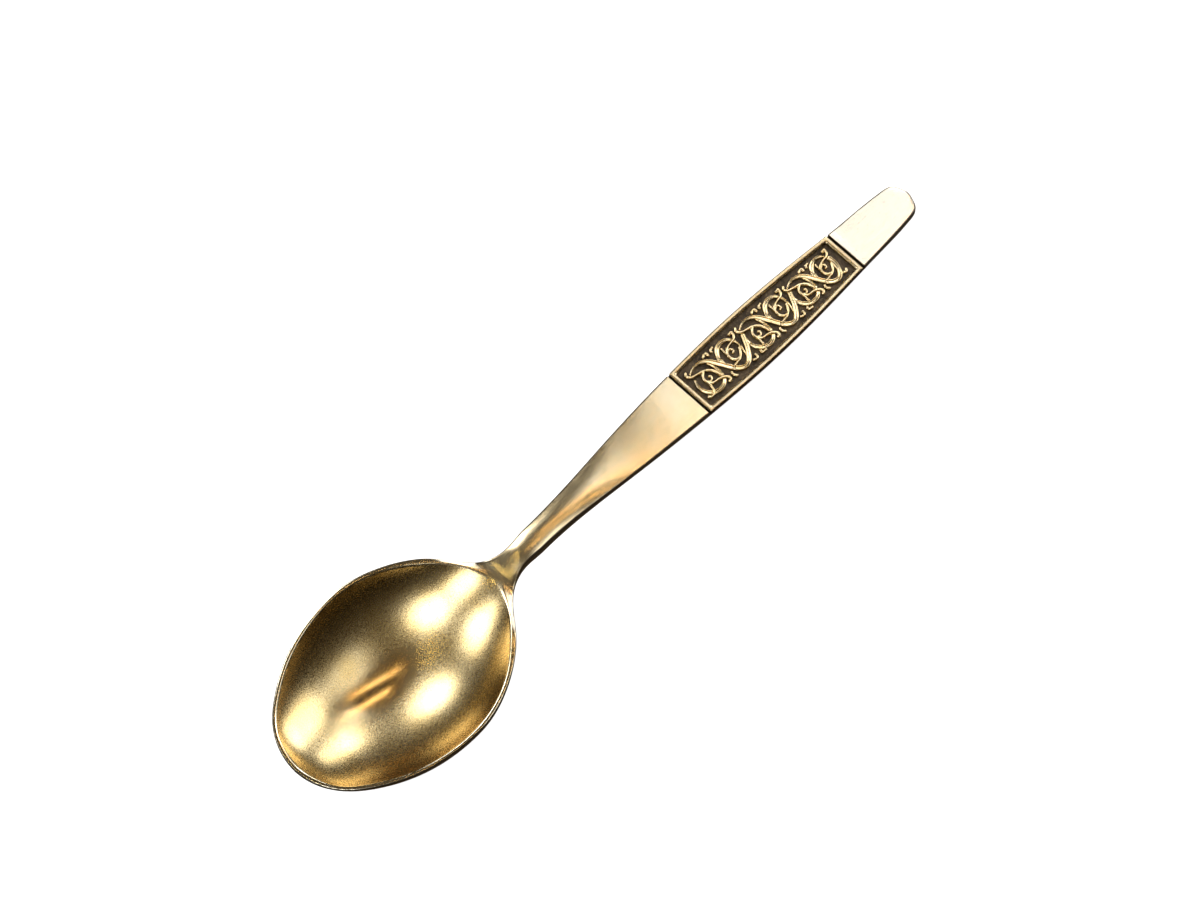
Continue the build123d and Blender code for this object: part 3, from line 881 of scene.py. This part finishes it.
def bead(x, y, repeat, size):
    """Points and faces of the round bead at a strand's end."""
    centre = np.array(place_on_plaque(x, y, repeat))
    radius = BUD_RADIUS * size
    rows = []
    for angle in np.linspace(0, math.pi / 2, BEAD_RINGS):
        row = []
        for spin in np.linspace(0, 2 * math.pi, BEAD_SIDES, endpoint=False):
            reach = radius * (math.cos(angle) if angle < 1.5 else BEAD_TOP)
            height = RELIEF_HEIGHT * (BEAD_LOW + BEAD_GAIN * math.sin(angle)) if angle > 0 else 0
            px, py = centre + reach * np.array((math.cos(spin), math.sin(spin)))
            row.append(on_plaque(px, py, -BORDER_DEPTH + height))
        rows.append(row)
    return rows, bridge(len(rows), BEAD_SIDES)


def join_pieces(name, node, pieces):
    """Makes one object of several swept pieces, standing for a CAD node."""
    verts, faces = [], []
    for rows, quads in pieces:
        start = len(verts)
        verts += [point for row in rows for point in row]
        faces += [tuple(start + k for k in quad) for quad in quads]
    obj = add_mesh(name, verts, faces, relief_gold)
    bm = bmesh.new()
    bm.from_mesh(obj.data)
    bmesh.ops.recalc_face_normals(bm, faces=bm.faces)
    bm.to_mesh(obj.data)
    bm.free()
    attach(obj, "root")
    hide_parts(node)
    return obj


def tendril_lines(repeat, upper):
    """The strands of a repeat's upper or lower tendril, with their widths and beads."""
    if upper:
        lines = (
            (upper_curl_points, 1.0),
            (upper_spiral_points, FINE_SHARE),
            (upper_bar_points, FINE_SHARE),
            (upper_branch_points, 1.0),
        )
        return lines, ((upper_curl_points[0], 1.0), (upper_spiral_points[-1], FINE_SHARE))
    rise = first_rise_points if repeat == 0 else lower_rise_points
    beads = [
        (lower_curl_points[0], FINE_SHARE),
        (lower_spiral_points[-1], FINE_SHARE),
        (lower_branch_points[-1], BROAD_SHARE),
    ]
    if repeat == 0:
        beads.append((first_rise_points[0], 1.0))
    lines = (
        (lower_curl_points, 1.0),
        (rise, 1.0),
        (lower_spiral_points, FINE_SHARE),
        (lower_branch_points, 1.0),
    )
    return lines, beads


def over_lines(repeat):
    """Middle lines of the tendrils that pass over this repeat's vine and rings."""
    found = []
    for near in range(repeat, min(repeat + 1, LAST) + 1):
        for points, share in tendril_lines(near, False)[0]:
            found.append((centre_line(points, near)[0], TENDRIL_WIDTH * share / 2))
    for points, share in tendril_lines(repeat, True)[0]:
        found.append((centre_line(points, repeat)[0], TENDRIL_WIDTH * share / 2))
    return found


for repeat in range(LAST + 1):
    number = repeat + 1
    for label, upper in (("upper", True), ("lower", False)):
        lines, beads = tendril_lines(repeat, upper)
        pieces = [
            sweep(points, repeat, TENDRIL_WIDTH * share, even, ROUND) for points, share in lines
        ]
        pieces += [bead(*place, repeat, size) for place, size in beads]
        join_pieces(f"relief_tendril_{label}_{number}", f"tendril_{label}_{number}", pieces)
    over = over_lines(repeat)
    points = last_vine_points if repeat == LAST else vine_points
    join_pieces(
        f"relief_vine_{number}",
        f"vine_{number}",
        [sweep(points, repeat, VINE_WIDTH, pointed_start, FLUTED, over)],
    )
    vines = [
        (centre_line(last_vine_points if near == LAST else vine_points, near)[0], VINE_WIDTH / 2)
        for near in range(max(repeat - 1, 0), repeat + 1)
    ]
    passing = over + vines
    if repeat == LAST:
        upper_line, upper_widths = last_ring_points, crescent
    else:
        upper_line, upper_widths = upper_ring_points, pointed_end
    ring = sweep(upper_line, repeat, RING_WIDTH, upper_widths, FLUTED, passing, RING_LIFT)
    join_pieces(f"relief_ring_upper_{number}", f"ring_upper_{number}", [ring])
    ring = sweep(lower_ring_points, repeat, RING_WIDTH, crescent, FLUTED, passing, RING_LIFT)
    join_pieces(f"relief_ring_lower_{number}", f"ring_lower_{number}", [ring])
    small = list(top_buds) + [stem_bud] + ([hook_points] if repeat == LAST else list(base_buds))
    join_pieces(
        f"relief_buds_{number}",
        f"buds_{number}",
        [
            sweep(points, repeat, TENDRIL_WIDTH, even, ROUND, passing, BUD_LIFT)
            for points in small
        ],
    )


def store(obj, name, values):
    """Stores a value per point for the materials."""
    made = obj.data.attributes.new(name, "FLOAT", "POINT")
    made.data.foreach_set("value", np.array(values, np.float32))


# ---------------------------------------------------------------- values for the materials
WORN_PLACE = (-51, 2.2)
WORN_SIZE = (8.5, 3.4)
WORN_FADE = (0.3, 1.3)
BOWL_FADE = (-27, -23)
# Painted shade in the hollow near the rim: where along the bowl, how far from the rim, and how dark
HOLLOW_SHADE_AT = (-68, -60, -38, -31)
HOLLOW_SHADE_ALONG = (0, 1, 1, 0.2)
HOLLOW_SHADE_REACH = (0.9, 6.5)
HOLLOW_SHADE_MOST = 0.9
# Painted highlight along the handle: places and how far it whitens there
HANDLE_HIGHLIGHT_AT = (8, 26, 56, END)
HANDLE_HIGHLIGHT_SHARE = (0, 0.35, 0.9, 1)
STEM_FROM = -22
EDGE_LINE = 0.24
FAR_FROM_RIM = 99
HOLLOW_FROM, SEAT_FROM, RIM_DOWN_TO = 0.25, 0.1, 0.12
WORN_AWAY = 0.8
RIM_POLISH_AND_HIGHLIGHT = 0.8
# How dark the painted shade is in the seat, along the top's outer edge and underneath
SEAT_PAINTED_SHADE, OUTLINE_PAINTED_SHADE, UNDER_PAINTED_SHADE = 0.95, 0.85, 0.6
blank_values = {name: [] for name in ("frost", "edge", "stain", "pale", "tarnish", "worn")}
for row in blank_rows:
    for place, (x, y, z) in enumerate(row):
        in_bowl = float(np.interp(x, BOWL_FADE, (1, 0)))
        on_top = place < TOP_COUNT
        below_rim = float(deck_height(x)) - z
        inside = on_top and below_rim > HOLLOW_FROM and HOLLOW_START < x < HOLLOW_END
        worn = math.hypot((x - WORN_PLACE[0]) / WORN_SIZE[0], (y - WORN_PLACE[1]) / WORN_SIZE[1])
        worn = float(np.interp(worn, WORN_FADE, (1, 0))) if inside else 0.0
        blank_values["worn"].append(worn)
        blank_values["frost"].append(in_bowl * (1 - WORN_AWAY * worn) if inside else 0.0)
        distance = edge_distance(x, y)
        rim_distance = distance if inside else FAR_FROM_RIM
        # Painted shade: darker in the hollow near the rim, along the bowl's sides
        tarnish = float(np.interp(x, HOLLOW_SHADE_AT, HOLLOW_SHADE_ALONG))
        tarnish *= float(np.interp(rim_distance, HOLLOW_SHADE_REACH, (HOLLOW_SHADE_MOST, 0)))
        blank_values["tarnish"].append(tarnish)
        # The rim's top is polished and painted lighter as a highlight
        at_rim = z > float(deck_height(x)) - RIM_DOWN_TO
        near_edge = distance < RIM_WIDTH and on_top and at_rim
        blank_values["edge"].append(RIM_POLISH_AND_HIGHLIGHT if near_edge and x < STEM_FROM else 0.0)
        # Painted shade: the seat, a thin line along the top's outer edge, and the underside are
        # darkened
        in_seat = on_top and seat_start < x < seat_end and below_rim > SEAT_FROM
        outer = distance < (EDGE_LINE if x > STEM_FROM else EDGE_LINE / 2)
        if in_seat:
            stain = SEAT_PAINTED_SHADE
        elif on_top:
            stain = OUTLINE_PAINTED_SHADE if outer else 0.0
        else:
            stain = UNDER_PAINTED_SHADE
        blank_values["stain"].append(stain)
        # Painted highlight: paler towards the handle's end
        blank_values["pale"].append(float(np.interp(x, HANDLE_HIGHLIGHT_AT, HANDLE_HIGHLIGHT_SHARE)))
for name, values in blank_values.items():
    store(spoon, name, values)
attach(spoon, "root")
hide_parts("spoon_blank")

# How much painted shade darkens the tray at each point of its section
tray_base_shade = (0.9, 0.9, 0.75, 0.45, 0.15, 0, 0, 0, 0, 0, 0, 0.1, 0.5, 0.9)
tray_points = range(len(tray.data.vertices))
store(tray, "foot", [tray_base_shade[place // tray_size] for place in tray_points])
plaque_pieces = (
    (tray, "plaque_tray", "plaque_gold"),
    (ground, "black_ground", "dark_ground"),
)
for piece, node, slot in plaque_pieces:
    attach(piece, "root")
    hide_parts(node)

# Painted shade darkens the strands near the ground they stand on
BASE_SHADE_AT = (0.0, 0.08, 0.2)
BASE_SHADE_SHARE = (1.0, 0.8, 0.0)
for piece in [o for o in bpy.data.objects if o.name.startswith("relief_")]:
    base_shades = []
    for vertex in piece.data.vertices:
        x, _, z = vertex.co / MM
        rise = (z - float(plaque_height(PLAQUE_START))) * math.cos(plaque_turn)
        height = rise + (x - PLAQUE_START) * math.sin(plaque_turn)
        base_shades.append(float(np.interp(height + BORDER_DEPTH, BASE_SHADE_AT, BASE_SHADE_SHARE)))
    store(piece, "foot", base_shades)

# ---------------------------------------------------------------- floor, camera and light
floor_mesh = bpy.data.meshes.new("floor")
FLOOR_REACH = 3.0
floor_corners = ((-1, -1), (1, -1), (1, 1), (-1, 1))
floor_points = [(x * FLOOR_REACH, y * FLOOR_REACH, 0) for x, y in floor_corners]
floor_mesh.from_pydata(floor_points, [], [(0, 1, 2, 3)])
floor = bpy.data.objects.new("floor", floor_mesh)
bpy.context.scene.collection.objects.link(floor)
pale, _, pale_shader, _ = start_material("pale_floor")
pale_shader.inputs["Base Color"].default_value = (0.9, 0.9, 0.9, 1)
pale_shader.inputs["Roughness"].default_value = 0.8
pale_shader.inputs["Emission Color"].default_value = (1, 1, 1, 1)
pale_shader.inputs["Emission Strength"].default_value = 0.85
floor_mesh.materials.append(pale)
floor.visible_glossy = False

CAMERA_AZIMUTH = math.radians(-46.3)
CAMERA_HEIGHT = math.radians(67.5)
CAMERA_DISTANCE = 0.9
CAMERA_TARGET = Vector((0.00228, 0.00417, 0.004))
back = Vector(
    (
        math.sin(CAMERA_AZIMUTH) * math.cos(CAMERA_HEIGHT),
        -math.cos(CAMERA_AZIMUTH) * math.cos(CAMERA_HEIGHT),
        math.sin(CAMERA_HEIGHT),
    )
)
camera_data = bpy.data.cameras.new("camera")
camera_data.lens = 170.7
camera_data.sensor_width = 36
camera_data.clip_start = 0.01
camera = bpy.data.objects.new("camera", camera_data)
camera.location = CAMERA_TARGET + CAMERA_DISTANCE * back
camera.rotation_euler = back.to_track_quat("Z", "Y").to_euler()
bpy.context.scene.collection.objects.link(camera)
bpy.context.scene.camera = camera

# Where the lights point, and the colours of the lamps
BOWL_PLACE = Vector((-0.045, 0, 0.003))
HANDLE_PLACE = Vector((0.055, -0.012, 0.003))
NECK_PLACE = Vector((-0.021, 0, 0.009))
WARM_WHITE = (1.0, 0.98, 0.93)
COOL_WHITE = (1, 0.99, 0.97)
AMBER = (1.0, 0.62, 0.25)
YELLOW = (1.0, 0.75, 0.25)
STUDIO_DISTANCE = 0.6


def add_light(name, direction, distance, size, power, colour, aim=BOWL_PLACE, long_side=None):
    """A soft box in a direction from the spoon, facing it."""
    data = bpy.data.lights.new(name, "AREA")
    data.shape = "RECTANGLE" if long_side else "DISK"
    data.size = size
    if long_side:
        data.size_y = long_side
    data.energy = power
    data.color = colour
    light = bpy.data.objects.new(name, data)
    toward = Vector(direction).normalized()
    light.location = aim + distance * toward
    light.rotation_euler = toward.to_track_quat("Z", "Y").to_euler()
    bpy.context.scene.collection.objects.link(light)
    return light


# Soft boxes round the bowl: name, direction, size in metres and power in watts
SOFTBOXES = (
    ("softbox_left", (-0.54, -0.18, 0.82), 0.3, 1.1),
    ("softbox_far_left", (-0.62, 0.56, 0.54), 0.27, 0.9),
    ("softbox_far", (0.11, 0.66, 0.74), 0.25, 0.8),
    ("softbox_right", (0.74, 0.38, 0.56), 0.17, 0.36),
    ("softbox_near_right", (0.88, -0.22, 0.4), 0.34, 1.05),
)
for name, direction, size, power in SOFTBOXES:
    add_light(name, direction, STUDIO_DISTANCE, size, power, WARM_WHITE)
handle_way = (0.455, 0.265, 0.85)
add_light("softbox_handle", handle_way, 0.3, 0.12, 0.042, COOL_WHITE, HANDLE_PLACE)
neck_way = (0.28, -0.36, 0.89)
neck_light = add_light("softbox_neck", neck_way, 0.13, 0.055, 0.011, WARM_WHITE, NECK_PLACE)
neck_light.visible_camera = False


def add_strip(name, start, end, width, power, colour):
    """A narrow lamp across the directions from start to end, seen from the bowl."""
    first, last = Vector(start).normalized(), Vector(end).normalized()
    middle = (first + last).normalized()
    long_side = STUDIO_DISTANCE * (last - first).length
    light = add_light(name, middle, STUDIO_DISTANCE, width, power, colour, long_side=long_side)
    side = (last - first).normalized()
    light.rotation_euler = Matrix((side.cross(middle), side, middle)).transposed().to_euler()


add_strip("lamp_amber_far", (0.09, 0.1, 0.99), (0.57, -0.09, 0.82), 0.012, 0.075, AMBER)
add_strip("lamp_amber_near", (0.29, 0.21, 0.93), (0.66, 0.07, 0.75), 0.012, 0.065, AMBER)
add_strip("lamp_yellow", (-0.32, 0.09, 0.94), (-0.09, 0.34, 0.94), 0.006, 0.05, YELLOW)

# The dark studio round it, by height: brown below, nearly black at the horizon, paler above
world = bpy.data.worlds.new("studio")
bpy.context.scene.world = world
world.use_nodes = True
sky = world.node_tree
direction = sky.nodes.new("ShaderNodeTexCoord")
split = sky.nodes.new("ShaderNodeSeparateXYZ")
ramp = sky.nodes.new("ShaderNodeValToRGB")
sky.links.new(direction.outputs["Generated"], split.inputs["Vector"])
sky.links.new(spread(sky, split.outputs["Z"], -1, 1), ramp.inputs["Fac"])
sky.links.new(ramp.outputs["Color"], sky.nodes["Background"].inputs["Color"])
stops = (
    (0.0, (0.05, 0.03, 0.015)),
    (0.5, (0.01, 0.006, 0.003)),
    (0.62, (0.01, 0.007, 0.003)),
    (0.8, (0.05, 0.036, 0.018)),
    (1.0, (0.06, 0.044, 0.022)),
)
for end, (position, colour) in zip(ramp.color_ramp.elements, (stops[0], stops[-1])):
    end.position, end.color = position, (*colour, 1)
for position, colour in stops[1:-1]:
    ramp.color_ramp.elements.new(position).color = (*colour, 1)
sky.nodes["Background"].inputs["Strength"].default_value = 1.0
bpy.context.scene.view_settings.view_transform = "Standard"
